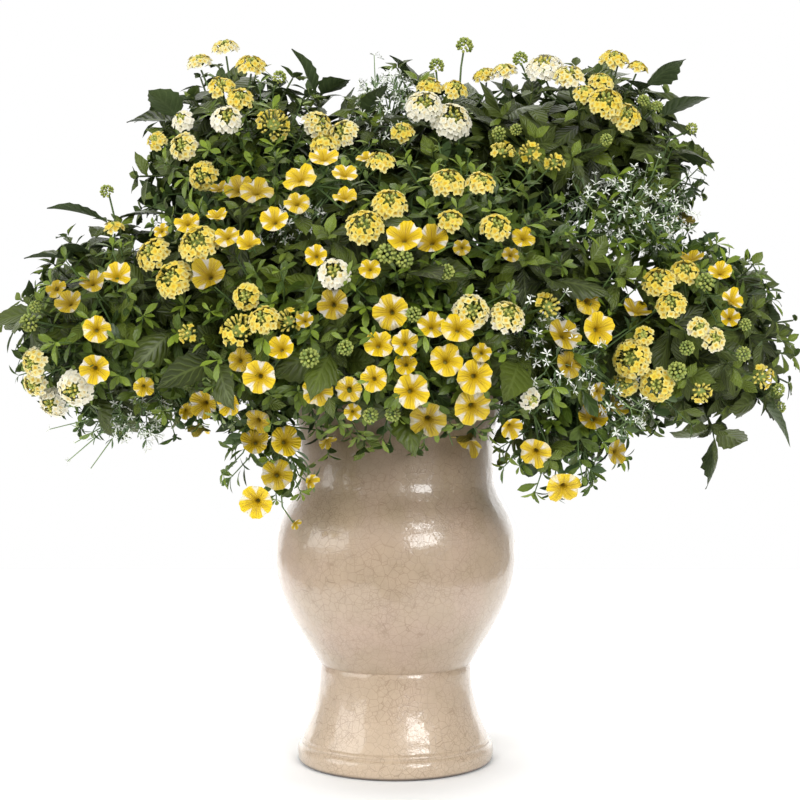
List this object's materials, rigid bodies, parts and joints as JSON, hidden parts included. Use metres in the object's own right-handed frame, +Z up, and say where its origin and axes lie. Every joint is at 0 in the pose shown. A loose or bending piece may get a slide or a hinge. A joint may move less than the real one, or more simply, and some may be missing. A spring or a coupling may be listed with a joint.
{
  "type": "potted flower planting",
  "caption": "Glazed urn planted with yellow and white lantana, trailing yellow calibrachoa and fine white euphorbia, on a flat foot.",
  "frame": {"origin": "middle of the urn's flat foot, on the ground", "axes": "+Z up along the urn's axis; the planting's front looks along -Y and its width runs along X"},
  "size_m": [0.7676, 0.5032, 0.7128],
  "materials": {
    "glaze": "glossy beige crackle glaze with fine brown crazing",
    "soil": "dark damp potting soil, matt",
    "lantana_leaf": "dark green, matt to satin, impressed veins",
    "lantana_flower": "soft yellow to white petals on green stalks",
    "calibrachoa_leaf": "bright green, satin",
    "calibrachoa_flower": "golden yellow petals with white streaks and fine brown veins",
    "euphorbia": "white bracts on pale green twigs, matt"
  },
  "bodies": {
    "root": {"calibrachoa_back_left_drift": "calibrachoa_leaf", "calibrachoa_back_right_drift": "calibrachoa_leaf", "calibrachoa_blooms_back_left_drift": "calibrachoa_flower", "calibrachoa_blooms_back_right_drift": "calibrachoa_flower", "calibrachoa_blooms_breast": "calibrachoa_flower", "calibrachoa_blooms_heart": "calibrachoa_flower", "calibrachoa_blooms_high": "calibrachoa_flower", "calibrachoa_blooms_high_left": "calibrachoa_flower", "calibrachoa_blooms_low_left": "calibrachoa_flower", "calibrachoa_blooms_low_middle": "calibrachoa_flower", "calibrachoa_blooms_low_right": "calibrachoa_flower", "calibrachoa_blooms_middle": "calibrachoa_flower", "calibrachoa_blooms_right": "calibrachoa_flower", "calibrachoa_blooms_right_side": "calibrachoa_flower", "calibrachoa_blooms_right_skirt": "calibrachoa_flower", "calibrachoa_blooms_shoulder": "calibrachoa_flower", "calibrachoa_blooms_trail": "calibrachoa_flower", "calibrachoa_blooms_wing": "calibrachoa_flower", "calibrachoa_centre_drift": "calibrachoa_leaf", "calibrachoa_heart": "calibrachoa_leaf", "calibrachoa_left_drift": "calibrachoa_leaf", "calibrachoa_left_trail": "calibrachoa_leaf", "calibrachoa_right_drift": "calibrachoa_leaf", "calibrachoa_right_edge": "calibrachoa_leaf", "calibrachoa_upper_drift": "calibrachoa_leaf", "euphorbia_low_left": "euphorbia", "euphorbia_low_right": "euphorbia", "euphorbia_right": "euphorbia", "euphorbia_top": "euphorbia", "lantana_back_left": "lantana_leaf", "lantana_back_middle": "lantana_leaf", "lantana_back_right": "lantana_leaf", "lantana_centre_front": "lantana_leaf", "lantana_heads_back_left": "lantana_flower", "lantana_heads_back_middle": "lantana_flower", "lantana_heads_back_right": "lantana_flower", "lantana_heads_breast": "lantana_flower", "lantana_heads_centre_column": "lantana_flower", "lantana_heads_crown": "lantana_flower", "lantana_heads_far_left_side": "lantana_flower", "lantana_heads_far_left_top": "lantana_flower", "lantana_heads_left_breast": "lantana_flower", "lantana_heads_left_bunch": "lantana_flower", "lantana_heads_left_tip": "lantana_flower", "lantana_heads_middle": "lantana_flower", "lantana_heads_right_breast": "lantana_flower", "lantana_heads_right_bunch": "lantana_flower", "lantana_heads_right_crown": "lantana_flower", "lantana_heads_right_shoulder": "lantana_flower", "lantana_heads_right_tip": "lantana_flower", "lantana_left_front": "lantana_leaf", "lantana_left_wing": "lantana_leaf", "lantana_right_front": "lantana_leaf", "lantana_right_wing": "lantana_leaf", "lantana_upper_centre": "lantana_leaf", "lantana_upper_left": "lantana_leaf", "lantana_upper_middle": "lantana_leaf", "lantana_upper_right": "lantana_leaf", "soil": "soil", "urn": "glaze"}
  },
  "joints": []
}
